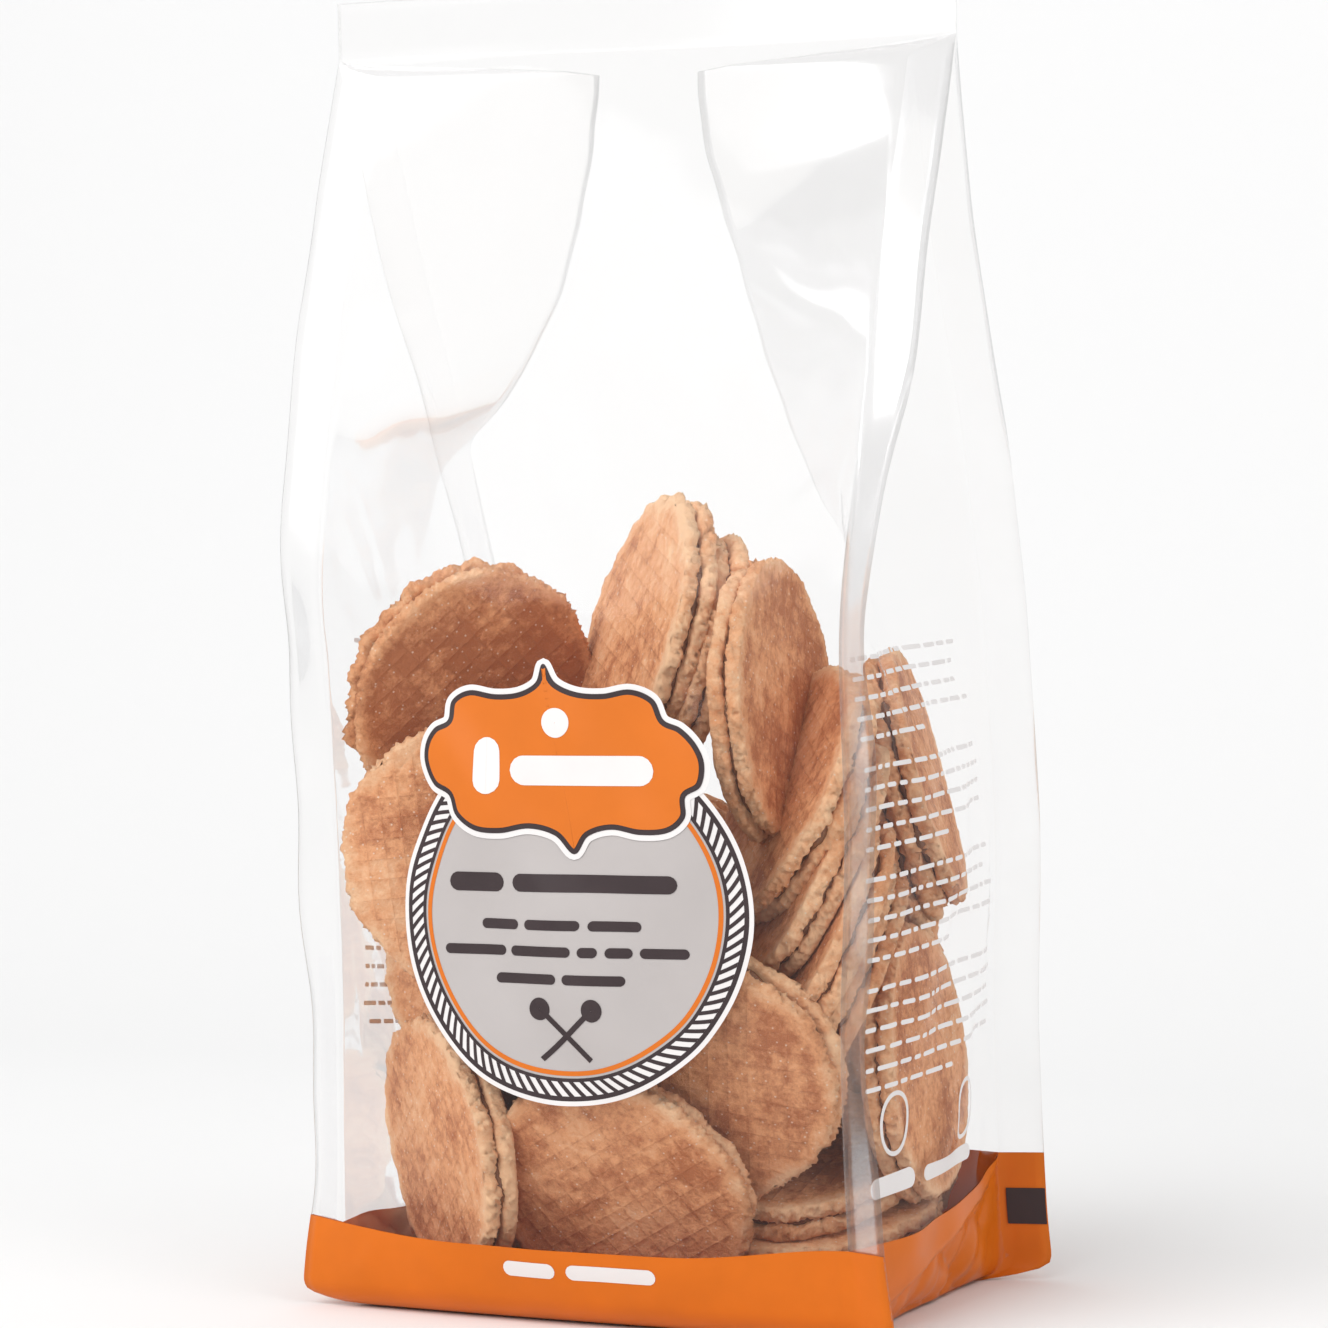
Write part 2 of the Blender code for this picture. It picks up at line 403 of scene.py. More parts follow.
def wafer_material():
    """Baked waffle crust: tan, browner in patches and on the grid's ridges, pale and crumbly at the rim."""
    material, nodes, links, shader = new_material("wafer_crust")
    local = nodes.new("ShaderNodeAttribute")
    local.attribute_name = "local"
    brown_and_shade = nodes.new("ShaderNodeAttribute")
    brown_and_shade.attribute_name = "brown_and_shade"
    rim = nodes.new("ShaderNodeAttribute")
    rim.attribute_name = "rim"
    own = nodes.new("ShaderNodeVectorMath")
    own.operation = "MULTIPLY_ADD"
    own.inputs[1].default_value = (1, 1, 1)
    spread = nodes.new("ShaderNodeVectorMath")
    spread.operation = "SCALE"
    spread.inputs["Scale"].default_value = 400
    links.new(brown_and_shade.outputs["Vector"], spread.inputs[0])
    links.new(local.outputs["Vector"], own.inputs[0])
    links.new(spread.outputs["Vector"], own.inputs[2])

    def noise(scale, detail, rough=0.6):
        node = nodes.new("ShaderNodeTexNoise")
        node.inputs["Scale"].default_value = scale
        node.inputs["Detail"].default_value = detail
        node.inputs["Roughness"].default_value = rough
        links.new(own.outputs["Vector"], node.inputs["Vector"])
        return node.outputs["Fac"]

    def math_node(kind, a, b=None, clamp=False):
        node = nodes.new("ShaderNodeMath")
        node.operation = kind
        node.use_clamp = clamp
        for socket, value in zip(node.inputs, (a, b)):
            if value is None:
                continue
            if isinstance(value, (int, float)):
                socket.default_value = value
            else:
                links.new(value, socket)
        return node.outputs[0]

    split = nodes.new("ShaderNodeSeparateXYZ")
    links.new(local.outputs["Vector"], split.inputs[0])
    turn_x = math_node("MULTIPLY", split.outputs["X"], math.pi / PIT_PITCH)
    turn_y = math_node("MULTIPLY", split.outputs["Y"], math.pi / PIT_PITCH)
    wave_x = math_node("ABSOLUTE", math_node("SINE", turn_x))
    wave_y = math_node("ABSOLUTE", math_node("SINE", turn_y))
    pit = math_node("MINIMUM", wave_x, wave_y)
    on_face = math_node("SUBTRACT", 1.0, rim.outputs["Fac"], True)
    pit = math_node("MULTIPLY", math_node("POWER", pit, 0.6), on_face)

    patches = noise(0.055, 3, 0.55)
    mottle = noise(0.30, 5, 0.65)
    grain = noise(1.1, 4, 0.75)
    brown = math_node("ADD", math_node("MULTIPLY", patches, 1.0), math_node("MULTIPLY", mottle, 0.75))
    brown = math_node("ADD", brown, math_node("MULTIPLY", pit, -0.07))
    brown = math_node("ADD", brown, math_node("MULTIPLY", grain, 0.55))
    # Each wafer's own number makes it browner; for the seen wafers this is partly real baking and partly
    # painted shade and light.
    brown = math_node("ADD", brown, math_node("MULTIPLY", brown_and_shade.outputs["Fac"], 0.30))
    brown = math_node("ADD", brown, math_node("MULTIPLY", rim.outputs["Fac"], -0.30))
    ramp = nodes.new("ShaderNodeValToRGB")
    stops = ramp.color_ramp.elements
    stops[0].position = 0.42
    stops[0].color = (0.97, 0.62, 0.37, 1)
    stops[1].position = 1.0
    stops[1].color = (0.50, 0.175, 0.070, 1)
    middle = stops.new(0.74)
    middle.color = (0.83, 0.395, 0.19, 1)
    links.new(math_node("SUBTRACT", brown, 0.42), ramp.inputs["Fac"])
    cells = nodes.new("ShaderNodeTexVoronoi")
    cells.inputs["Scale"].default_value = 0.7
    links.new(own.outputs["Vector"], cells.inputs["Vector"])
    speck = nodes.new("ShaderNodeMapRange")
    speck.inputs["From Min"].default_value = 0.16
    speck.inputs["From Max"].default_value = 0.09
    speck.inputs["To Max"].default_value = 0.6
    links.new(cells.outputs["Distance"], speck.inputs["Value"])
    sugar = nodes.new("ShaderNodeMix")
    sugar.data_type = "RGBA"
    sugar.inputs[7].default_value = (0.95, 0.80, 0.66, 1)
    links.new(speck.outputs["Result"], sugar.inputs[0])
    links.new(ramp.outputs["Color"], sugar.inputs[6])
    links.new(sugar.outputs[2], shader.inputs["Base Color"])
    shader.inputs["Roughness"].default_value = 0.72
    shader.inputs["Specular IOR Level"].default_value = 0.3

    crumb = noise(0.75, 6, 0.8)
    relief = math_node("ADD", math_node("MULTIPLY", pit, -0.32), math_node("MULTIPLY", mottle, 0.5))
    relief = math_node("ADD", relief, math_node("MULTIPLY", grain, 0.5))
    rough_edge = math_node("MULTIPLY", crumb, math_node("MULTIPLY", rim.outputs["Fac"], 0.5))
    relief = math_node("ADD", relief, rough_edge)
    bump = nodes.new("ShaderNodeBump")
    bump.inputs["Strength"].default_value = 0.75
    bump.inputs["Distance"].default_value = 0.0011
    links.new(relief, bump.inputs["Height"])
    links.new(bump.outputs["Normal"], shader.inputs["Normal"])
    return material


def caramel_material():
    material, nodes, links, shader = new_material("caramel")
    noise = nodes.new("ShaderNodeTexNoise")
    noise.inputs["Scale"].default_value = 900
    coords = nodes.new("ShaderNodeTexCoord")
    links.new(coords.outputs["Object"], noise.inputs["Vector"])
    ramp = nodes.new("ShaderNodeValToRGB")
    ramp.color_ramp.elements[0].color = (0.10, 0.035, 0.012, 1)
    ramp.color_ramp.elements[1].color = (0.26, 0.10, 0.035, 1)
    links.new(noise.outputs["Fac"], ramp.inputs["Fac"])
    links.new(ramp.outputs["Color"], shader.inputs["Base Color"])
    shader.inputs["Roughness"].default_value = 0.4
    return material


FILM = film_material("clear_film", 0.010, 0.10, 0.32)
FILM_WELD = film_material("welded_film", 0.035, 0.18, 0.45)
ORANGE = ink("orange_ink", (0.66, 0.150, 0.010), 0.30, 0.05)
ORANGE_DEEP = ink("orange_plaque_ink", (0.66, 0.165, 0.020), 0.4, 0.03)
PALE = ink("pale_label_ink", (0.47, 0.435, 0.425), 0.4, 0.02)
WHITE = ink("white_ink", (0.78, 0.75, 0.74), 0.4, 0.02)
DARK = ink("dark_ink", (0.050, 0.036, 0.038), 0.4, 0.10)
WAFER = wafer_material()
CARAMEL = caramel_material()

# ---------------------------------------------------------------- film
def film_rows():
    base = [0.0, 0.4, 1.0, 2.0, 3.2, 5.0]
    wall = np.arange(6.6, SEAL_FOOT, 1.6).tolist()
    close = [SEAL_FOOT, 220.0, 221.0, 222.0, 223.0, SEAL_START]
    ribs = np.arange(224.0, HEIGHT + 0.01, 0.5).tolist()
    return base + wall + close + ribs


def make_film():
    skin = Skin()
    rows = []
    for z in film_rows():
        rib = 0.0
        if 225.0 <= z <= 233.0:
            rib = 0.14 if round(z * 2) % 2 else -0.10
        rows.append(section(z, lift=rib))
    block = np.stack(rows)
    index = skin.grid(block, closed=True)
    skin.face(index[0][::-1])
    skin.face(index[-1])
    film = skin.make("film", [FILM, FILM_WELD])
    per_row = block.shape[1]
    columns = np.arange(per_row)
    fins = 2 * FIN_STEPS
    half = (FACE_STEPS + 1) + fins + (SIDE_STEPS + 1) + fins
    local = columns % half
    first_fin = (local >= FACE_STEPS) & (local <= FACE_STEPS + fins)
    is_fin = first_fin | (local >= half - fins - 1)
    marks = np.zeros(len(film.data.polygons), int)
    heights = np.array(film_rows())
    for r in range(len(heights) - 1):
        welded = is_fin | (heights[r] >= SEAL_START)
        marks[r * per_row : (r + 1) * per_row] = welded
    film.data.polygons.foreach_set("material_index", marks.tolist())
    return film


# ---------------------------------------------------------------- the orange print round the foot
def band_height(points):
    """Height of the print's top edge at each point of the outline, from its place around the bag."""
    x, y = points[:, 0], points[:, 1]
    rear = ease(-34, 40, y) * ease(-10, 40, x)
    height = 13.4 + 2.4 * ease(-20, -60, x) * ease(0, -30, y) + 2.2 * ease(20, 46, x) * ease(10, -40, y)
    return height + 9.5 * rear + 1.2 * ease(0, 40, y) * ease(10, -40, x)


def make_band():
    skin = Skin()
    steps = 22
    guide = section(10.0, sides=BAND_SIDE_STEPS)
    top = band_height(guide)
    heights = np.linspace(0, top.max(), 60)
    stack = np.stack([section(h, 0.12, sides=BAND_SIDE_STEPS) for h in heights])
    cols = np.arange(len(top))
    rows = []
    for r in range(steps + 1):
        levels = top * (r / steps)
        place_in = levels / top.max() * (len(heights) - 1)
        low = np.clip(np.floor(place_in).astype(int), 0, len(heights) - 2)
        part = (place_in - low)[:, None]
        rows.append(stack[low, cols] * (1 - part) + stack[low + 1, cols] * part)
        if r == 0:
            rows[0][:, 2] = 0.02
    index = skin.grid(np.stack(rows), closed=True)
    skin.face(index[0][::-1])
    return skin.make("orange_band", [ORANGE])


# ---------------------------------------------------------------- print on the front panel
LABEL_X = 0.8
LABEL_Z = 69.8
LABEL_R = 31.7


def on_front(a, b, lift):
    return face_at(-1, LABEL_X + a, LABEL_Z + b, lift)


def ring(skin, inner, outer, lift, steps=180, rows=3, mark=0, centre=(0, 0)):
    angle = np.linspace(0, TAU, steps, endpoint=False)
    radius = np.linspace(inner, outer, rows)
    a = centre[0] + radius[:, None] * np.cos(angle)[None, :]
    b = centre[1] + radius[:, None] * np.sin(angle)[None, :]
    skin.grid(on_front(a, b, lift), closed=True, flip=True, mark=mark)


def bar(skin, a0, a1, b, height, lift, slope=0.0, mark=0, mapper=on_front):
    """A rounded bar that stands for a word."""
    radius = min(height / 2, abs(a1 - a0) / 2)
    turn = np.radians((90, 65, 40, 15))
    inner = np.linspace(a0 + radius, a1 - radius, max(2, int(abs(a1 - a0) / 1.5)))
    bow = radius - radius * np.sin(turn)
    a = np.concatenate([a0 + bow, inner, (a1 - bow)[::-1]])
    end = np.maximum(np.cos(turn), 0.02)
    shrink = np.concatenate([end, np.ones(len(inner)), end[::-1]])
    rows = np.linspace(-0.5, 0.5, 3 + int(height))
    block_a = np.repeat(a[None, :], len(rows), axis=0)
    tall = height - 2 * radius + 2 * radius * shrink
    block_b = b + slope * (a - a0)[None, :] + rows[:, None] * tall[None, :]
    skin.grid(mapper(block_a, block_b, lift), mark=mark)


def star(skin, outline, centre, scale, lift, rows=12, mark=0):
    """Fills an outline that can be seen whole from its centre."""
    share = np.linspace(0.0, 1.0, rows + 1)
    share[0] = 0.02
    a = centre[0] + share[:, None] * (outline[:, 0] * scale)[None, :]
    b = centre[1] + share[:, None] * (outline[:, 1] * scale)[None, :]
    skin.grid(on_front(a, b, lift), closed=True, mark=mark, flip=True)


def smooth_loop(corners, steps=8):
    """A closed curve through the corners."""
    points = np.array(corners, float)
    count = len(points)
    result = []
    for i in range(count):
        p0, p1, p2, p3 = (points[(i + k - 1) % count] for k in range(4))
        for s in range(steps):
            t = s / steps
            square = (2 * p0 - 5 * p1 + 4 * p2 - p3) * t * t
            cube = (3 * p1 - p0 - 3 * p2 + p3) * t**3
            result.append(0.5 * (2 * p1 + (p2 - p0) * t + square + cube))
    return np.array(result)


def plaque_outline():
    """An ornate plaque: a point above and below, a lobe at each end, leaning a little."""
    quarter_top = [
        (0, 16.0),
        (1.6, 12.9),
        (5.2, 11.2),
        (10.0, 10.9),
        (15.0, 11.6),
        (18.6, 10.0),
        (19.8, 6.6),
        (22.6, 5.2),
        (24.8, 2.6),
    ]
    quarter_low = [
        (25.6, -0.6),
        (24.4, -4.2),
        (21.4, -6.0),
        (20.6, -9.4),
        (17.4, -11.8),
        (12.6, -12.2),
        (7.6, -11.4),
        (3.0, -12.6),
    ]
    right = quarter_top + quarter_low
    left = [(-x, y) for x, y in reversed(right) if x > 0]
    loop = smooth_loop(right + [(0, -15.6)] + left)
    loop[:, 0] -= 0.15 * loop[:, 1]
    return loop


def grown(outline, by):
    """The outline moved outwards by a distance."""
    step = np.roll(outline, -1, axis=0) - np.roll(outline, 1, axis=0)
    normal = np.stack([step[:, 1], -step[:, 0]], axis=1)
    normal /= np.linalg.norm(normal, axis=1)[:, None]
    outward = np.sign((normal * outline).sum())
    return outline + normal * outward * by


def make_label():
    pieces = []
    pale = Skin()
    ring(pale, 0.01, LABEL_R, 0.12, rows=22)
    pieces.append(pale.make("label_field", [PALE]))

    white = Skin()
    ring(white, 30.9, LABEL_R, 0.17)
    ring(white, 27.7, 30.1, 0.17)
    plaque = plaque_outline()
    centre = (-1.4, 26.0)
    outer = grown(plaque, 1.1)
    star(white, outer, centre, 1.0, 0.26)
    pieces.append(white.make("label_white", [WHITE]))

    dark = Skin()
    ring(dark, 30.1, 30.9, 0.19)
    ring(dark, 27.1, 27.7, 0.19)
    count = 92
    for i in range(count):
        start = TAU * i / count
        radius = np.linspace(27.7, 30.1, 4)
        angle = start + np.linspace(0, 0.075, 4)
        a = np.stack([radius * np.cos(angle), radius * np.cos(angle + 0.030)])
        b = np.stack([radius * np.sin(angle), radius * np.sin(angle + 0.030)])
        dark.grid(on_front(a, b, 0.21))
    star(dark, grown(plaque, 0.15), centre, 1.0, 0.32)
    for a0, a1, b, height in (
        (-22.5, -11.8, 5.4, 3.2),
        (-10.0, 19.4, 5.4, 3.0),
        (-16.4, -8.9, -1.6, 1.7),
        (-7.6, 2.6, -1.6, 1.7),
        (3.9, 13.2, -1.6, 1.7),
        (-23.2, -11.5, -6.0, 1.7),
        (-10.4, 1.2, -6.0, 1.7),
        (2.4, 5.8, -6.0, 1.7),
        (7.0, 11.6, -6.0, 1.7),
        (12.8, 21.2, -6.0, 1.7),
        (-13.2, -1.6, -10.6, 1.7),
        (-0.4, 10.6, -10.6, 1.7),
    ):
        bar(dark, a0, a1, b, height, 0.19)
    for lean_way in (-1, 1):
        a = lean_way * np.linspace(-4.4, 4.2, 8)
        b = -19.6 + np.linspace(-4.4, 3.4, 8)
        width = 0.34
        block_a = np.stack([a - width, a + width])
        block_b = np.stack([b + lean_way * width, b - lean_way * width])
        dark.grid(on_front(block_a, block_b, 0.19))
        ring(dark, 0.05, 1.9, 0.2, steps=28, centre=(lean_way * 4.9, -15.6))
    pieces.append(dark.make("label_dark", [DARK]))

    orange = Skin()
    ring(orange, 25.9, 26.7, 0.17)
    star(orange, grown(plaque, -0.75), centre, 1.0, 0.38)
    pieces.append(orange.make("label_orange", [ORANGE_DEEP]))

    light = Skin()
    bar(light, -17.0, -12.4, 25.0, 9.6, 0.44)
    bar(light, -10.6, 15.4, 24.2, 5.0, 0.44)
    ring(light, 0.05, 2.5, 0.44, steps=40, centre=(-1.6, 32.2))
    bar(light, -14.5, -4.5, 9.8 - LABEL_Z, 2.6, 0.2)
    bar(light, -2.5, 13.5, 9.8 - LABEL_Z, 2.6, 0.2)
    pieces.append(light.make("label_light", [WHITE]))
    return pieces


# ---------------------------------------------------------------- small print on the sides
PRINT_SLOPE = 0.08


def make_small_print():
    skin = Skin()
    chance = np.random.default_rng(11)
    for side in (-1, 1):

        def on_side(a, b, lift, side=side):
            y = (-36.5 + a) if side < 0 else (36.5 - a)
            return side_at(side, y, b, lift)

        level = 112.0
        for lines in (5, 5, 5, 6):
            for line in range(lines):
                at = 5.0
                stop = 58.0 if line < lines - 1 else 34.0
                while at < stop:
                    end = min(at + float(chance.uniform(1.8, 6.5)), stop + 2)
                    bar(skin, at, end, level + PRINT_SLOPE * at, 0.8, 0.15, PRINT_SLOPE, mapper=on_side)
                    at = end + 1.0
                level -= 3.3
            level -= 1.8
        angle = np.linspace(0, TAU, 48, endpoint=False)
        rings = np.linspace(4.7, 5.5, 2)
        for centre in (14.0, 40.0):
            a = centre + rings[:, None] * np.cos(angle)[None, :]
            b = 35.0 + rings[:, None] * np.sin(angle)[None, :]
            skin.grid(on_side(a, b, 0.15), closed=True)
        bar(skin, 6.0, 20.0, 24.5, 3.4, 0.15, PRINT_SLOPE, mapper=on_side)
        bar(skin, 23.0, 44.0, 25.5, 2.8, 0.15, PRINT_SLOPE, mapper=on_side)
    return skin.make("small_print", [WHITE])


def make_mark():
    """The dark square on the strip at the right rear."""
    skin = Skin()
    z = np.linspace(10.0, 16.5, 6)
    reach = np.linspace(0.12, 0.98, 5)
    block = np.stack([strip_at(-1, "far", reach, h, WELD + 0.3) for h in z])
    skin.grid(block)
    block = np.stack([strip_at(-1, "far", reach, h, -0.3) for h in z])
    skin.grid(block, flip=True)
    return skin.make("print_mark", [DARK])


# ---------------------------------------------------------------- wafers
RADIUS = 24.2
THICK = 6.4
BALL = 3.25
CLEAR = 1.7  # room left between a wafer's middle sphere and the film
OFF_FLOOR = 1.2
SETTLE_STEPS, HOLD_STEPS = 200, 150
FINE, COARSE = 36, 12  # facets across a wafer that can be seen, and across a buried one

# x, y, z of the centre, the direction the disc faces and how brown it is baked; for the seen wafers that last
# number also holds painted shade and light, higher for faces that lie in shade and lower for lit ones.
SEEN = (
    (5, -28, 22, 0.11, -0.86, -0.50, 0.5),
    (-31, -29, 31, -0.68, -0.73, -0.08, 0.3),
    (20, -25, 45, -0.02, -0.89, -0.46, 0.5),
    (-9, -13, 36, -0.20, -0.92, -0.34, 0.6),
    (-27, -22, 110, 0.68, -0.61, -0.42, 0.95),
    (-27, -31, 80, 0.13, -0.98, -0.12, 0.45),
    (1, -16, 120, -0.67, -0.69, 0.27, 0.2),
    (9, -12, 114, -0.80, -0.54, 0.27, 0.4),
    (28, -17, 104, 0.99, -0.02, 0.13, 0.7),
    (33, -11, 92, -0.72, -0.55, 0.42, 0.4),
    (37, -10, 82, -0.74, -0.52, 0.43, 0.3),
    (37, -14, 69, -0.70, -0.55, 0.45, 0.5),
    (38, -4, 60, -0.75, -0.42, 0.50, 0.6),
    (42, 12, 90, 0.93, 0.20, 0.30, 0.5),
    (35, 12, 88, 0.90, 0.25, 0.35, 0.6),
    (46, 4, 42, 0.98, 0.12, 0.05, 0.4),
    (26, -2, 29, 0.02, -0.33, 0.94, 0.5),
    (27, -3, 20, 0.05, -0.28, 0.96, 0.4),
    (26, -2, 11, 0.0, -0.24, 0.97, 0.5),
    (-38, -18, 60, -0.26, -0.96, 0.09, 0.3),
    (-30, -5, 32, 0.06, -0.95, -0.32, 0.7),
)
HIDDEN = (
    (-20, 14, 7, 0.0, 0.1, 1.0, 0.5),
    (-20, 14, 14, 0.1, -0.1, 0.98, 0.6),
    (25, 27, 32, 0.15, 0.97, 0.1, 0.4),
    (-8, 22, 42, 0.2, 0.9, 0.3, 0.5),
    (14, 16, 55, 0.3, 0.8, 0.5, 0.7),
    (-26, 14, 66, 0.9, 0.3, 0.2, 0.6),
    (-10, 24, 78, 0.1, 0.95, 0.2, 0.5),
    (25, 27, 74, 0.15, 0.97, 0.1, 0.5),
    (-4, 4, 72, 0.5, -0.8, 0.2, 0.6),
)


def keep_inside(points, margin):
    """Moves points to at least margin inside the film."""
    x, y, z = points[..., 0] + CENTRE_X, points[..., 1] + CENTRE_Y, points[..., 2]
    shift, turn, tilt = lean(z), np.radians(twist(z)), skew(z)
    x = x - shift
    y = y - LEAN_BACK * shift
    bx = x * np.cos(turn) + y * np.sin(turn)
    by = -x * np.sin(turn) + y * np.cos(turn)
    bx = bx - tilt * by
    room_y = np.where(by < 0, face_out(-1, bx, z), face_out(1, bx, z)) - margin
    room_x = np.where(bx > 0, side_out(-1, by, z), side_out(1, by, z)) - margin
    nx = np.clip(bx, -room_x, room_x)
    ny = np.clip(by, -room_y, room_y)
    rx = nx + tilt * ny
    px = rx * np.cos(turn) - ny * np.sin(turn) + shift - CENTRE_X
    py = rx * np.sin(turn) + ny * np.cos(turn) + LEAN_BACK * shift - CENTRE_Y
    return np.stack([px, py, np.maximum(z, BALL + OFF_FLOOR)], axis=-1)


def facing(direction):
    """A rotation that turns +Z to the direction."""
    normal = np.array(direction, float)
    normal /= np.linalg.norm(normal)
    helper = np.array([0.0, 0.0, 1.0]) if abs(normal[2]) < 0.9 else np.array([1.0, 0.0, 0.0])
    first = np.cross(helper, normal)
    first /= np.linalg.norm(first)
    second = np.cross(normal, first)
    return np.stack([first, second, normal], axis=1)


def settle():
    """Pushes the wafers out of each other and inside the film, keeping each one rigid."""
    rows = SEEN + HIDDEN
    centres = np.array([r[:3] for r in rows], float)
    turns = np.stack([facing(r[3:6]) for r in rows])
    home = centres.copy()
    upright = turns.copy()
    weight = np.array([0.35] * len(SEEN) + [1.0] * len(HIDDEN))
    pitch = 6.5
    spots = []
    for i in range(-4, 5):
        for j in range(-5, 6):
            sx, sy = (i + 0.5 * (j % 2)) * pitch, j * pitch * 0.866
            if math.hypot(sx, sy) <= RADIUS - BALL:
                spots.append((sx, sy, 0.0))
    for k in range(18):
        angle = TAU * k / 18
        spots.append(((RADIUS - BALL) * math.cos(angle), (RADIUS - BALL) * math.sin(angle), 0.0))
    spots = np.array(spots)
    count, size = len(rows), len(spots)
    owner = np.repeat(np.arange(count), size)
    other = owner[:, None] != owner[None, :]
    shares = weight[owner][:, None] / (weight[owner][:, None] + weight[owner][None, :])
    for step in range(SETTLE_STEPS):
        points = centres[:, None, :] + spots[None] @ turns.transpose(0, 2, 1)
        flat = points.reshape(-1, 3)
        square = (flat**2).sum(axis=1)
        distance = np.sqrt(np.maximum(square[:, None] + square[None, :] - 2 * flat @ flat.T, 1e-6))
        overlap = np.where(other, np.maximum(2 * BALL - distance, 0), 0) / distance * shares
        push = overlap.sum(axis=1)[:, None] * flat - overlap @ flat
        touching = np.maximum((overlap > 0).sum(axis=1), 1)[:, None]
        flat = flat + push / touching * (1.2 if step < HOLD_STEPS else 1.7)
        flat = keep_inside(flat, BALL + CLEAR)
        moved = flat.reshape(count, size, 3)
        new = moved.mean(axis=1)
        arms = moved - new[:, None, :]
        pull = max(0.0, 0.04 * (1 - step / HOLD_STEPS))
        drop = 0.10 * (1 - step / 220)
        for k in range(count):
            hold = (0.20 if step < HOLD_STEPS else 0.06) if k < len(SEEN) else 0.0
            arms[k] += hold * (spots @ upright[k].T - arms[k])
            u, _, vt = np.linalg.svd(spots.T @ arms[k])
            sign = np.sign(np.linalg.det(vt.T @ u.T))
            turns[k] = vt.T @ np.diag([1, 1, sign]) @ u.T
        centres = new + (home - new) * pull * (weight < 1)[:, None]
        centres[:, 2] -= drop * weight
    return centres, turns


def concentric(n):
    """An even grid over the unit disc, n + 1 points each way."""
    line = np.linspace(-1, 1, n + 1)
    a, b = np.meshgrid(line, line)
    big = np.abs(a) > np.abs(b)
    r = np.where(big, a, b)
    with np.errstate(divide="ignore", invalid="ignore"):
        angle = np.where(big, (math.pi / 4) * (b / a), (math.pi / 2) - (math.pi / 4) * (a / b))
    angle = np.where((a == 0) & (b == 0), 0.0, angle)
    return r * np.cos(angle), r * np.sin(angle)


def border(n):
    """Indices of the grid's edge points, once round."""
    side = n + 1
    top = [(0, j) for j in range(n)]
    right = [(i, n) for i in range(n)]
    low = [(n, j) for j in range(n, 0, -1)]
    left = [(i, 0) for i in range(n, 0, -1)]
    return np.array([i * side + j for i, j in top + right + low + left])


def wobble(chance, angle, waves, size):
    """Unevenness round a disc: waves with chance sizes and places."""
    total = 0 * angle
    for wave in waves:
        total = total + chance.normal(0, 1) * np.sin(wave * angle + chance.uniform(0, TAU))
    return size * total / math.sqrt(len(waves) / 2)


class Biscuits:
    """The two waffle halves of every wafer, with what the crust's colours need at each point."""

    def __init__(self):
        self.skin = Skin()
        self.local, self.rim, self.brown_and_shade = [], [], []

    def note(self, local, rim, brown_and_shade, roll, offset):
        flat = local.reshape(-1, 3)
        cos, sin = math.cos(roll), math.sin(roll)
        x, y = flat[:, 0] * cos - flat[:, 1] * sin, flat[:, 0] * sin + flat[:, 1] * cos
        self.local.append(np.stack([x, y, flat[:, 2]], axis=1) + offset)
        self.rim.append(np.broadcast_to(rim, local.shape[:-1]).ravel())
        self.brown_and_shade.append(np.full(len(flat), brown_and_shade))

    def make(self, name):
        piece = self.skin.make(name, [WAFER])
        for label, kind, key, data in (
            ("local", "FLOAT_VECTOR", "vector", np.concatenate(self.local)),
            ("rim", "FLOAT", "value", np.concatenate(self.rim)),
            ("brown_and_shade", "FLOAT", "value", np.concatenate(self.brown_and_shade)),
        ):
            layer = piece.data.attributes.new(label, kind, "POINT")
            layer.data.foreach_set(key, np.ascontiguousarray(data, dtype=np.float32).ravel())
        return piece


# The edge of one half, from its outer face to the gap: height above the middle and distance out.
EDGE = ((2.95, 0.45), (2.55, 0.70), (2.10, 0.80), (1.65, 0.85), (1.20, 0.80), (0.75, 0.65))


